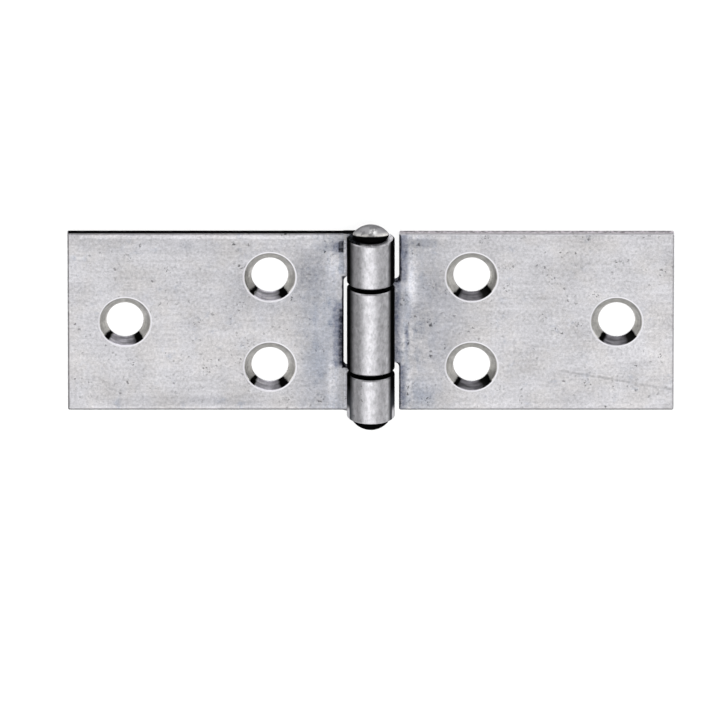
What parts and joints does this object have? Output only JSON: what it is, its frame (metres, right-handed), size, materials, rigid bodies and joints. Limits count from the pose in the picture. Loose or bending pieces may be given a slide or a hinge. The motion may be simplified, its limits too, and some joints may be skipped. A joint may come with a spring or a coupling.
{
  "type": "furniture hinge",
  "caption": "Oblong sheet-steel leaves with countersunk screw holes, their inner edges rolled into knuckles that turn on a riveted, dome-headed pin.",
  "frame": {"origin": "on the back faces of the open leaves, under the middle of the pin", "axes": "+X across the open leaves from the two-knuckle leaf to the one-knuckle leaf, +Y along the pin, +Z out of the front faces, towards the knuckles and countersinks"},
  "size_m": [0.1, 0.0358, 0.0079],
  "materials": {
    "leaf_steel": "raw cold-rolled strip, faintly mottled, with fine pits and a darker bluish bloom near the rolls",
    "pin_steel": "bright drawn wire with hammered, domed heads"
  },
  "bodies": {
    "fixed_leaf": {"two_knuckle_leaf": "leaf_steel", "hinge_pin": "pin_steel"},
    "swinging_leaf": {"one_knuckle_leaf": "leaf_steel"}
  },
  "joints": [
    {"name": "leaf_swing", "type": "hinge", "parent": "fixed_leaf", "child": "swinging_leaf", "pos_m": [0, 0, 0.00395], "axis": [0, -1, 0], "range_deg": [-95, 180]}
  ]
}
